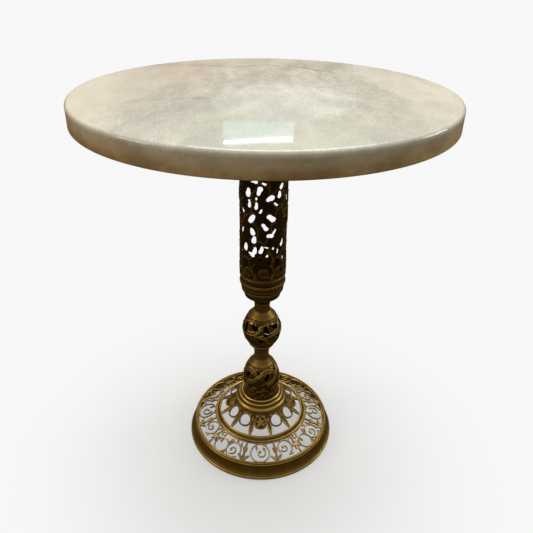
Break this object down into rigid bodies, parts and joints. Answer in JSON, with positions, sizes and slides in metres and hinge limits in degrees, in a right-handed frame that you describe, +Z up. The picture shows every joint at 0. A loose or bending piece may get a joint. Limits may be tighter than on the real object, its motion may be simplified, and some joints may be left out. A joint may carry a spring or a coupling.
{
  "type": "pedestal side table",
  "caption": "Round stone-topped pedestal side table on a stem of turned and openwork cast brass, with an openwork domed base.",
  "frame": {"origin": "on the floor under the centre of the base", "axes": "+Z up along the stem, +X to the right and -Y towards the front"},
  "size_m": [0.5199, 0.52, 0.62],
  "materials": {
    "marble": "polished cream and grey marble with fine veins",
    "antique_brass": "antique brass, brown patina in the recesses",
    "bright_brass": "rubbed brass, brighter on raised edges",
    "dark_brass": "dark, heavily patinated brass",
    "steel": "dulled plain steel hardware",
    "felt": "dark green-black felt"
  },
  "bodies": {
    "root": {"marble_top": "marble", "marble_inserts": "bright_brass", "felt_disc": "felt", "top_plate": "dark_brass", "slab_screws": "steel", "flange_screws": "steel", "column_top_ring": "antique_brass", "column_panel_1": "dark_brass", "column_panel_2": "dark_brass", "column_panel_3": "dark_brass", "column_panel_4": "dark_brass", "column_panel_5": "dark_brass", "column_panel_6": "dark_brass", "column_panel_7": "dark_brass", "column_panel_8": "dark_brass", "column_foot_ring": "antique_brass", "upper_washer": "steel", "upper_nut": "steel", "cup": "dark_brass", "upper_neck": "antique_brass", "ball_upper_cap": "antique_brass", "openwork_ball": "antique_brass", "ball_lower_cap": "antique_brass", "lower_neck": "antique_brass", "urn_cap": "antique_brass", "openwork_urn": "antique_brass", "stepped_collar": "bright_brass", "tie_rod": "steel", "base_washer": "steel", "base_nut": "steel", "medallion_ring": "antique_brass", "middle_ring": "antique_brass", "filigree_band": "bright_brass", "base_rim": "antique_brass"}
  },
  "joints": []
}
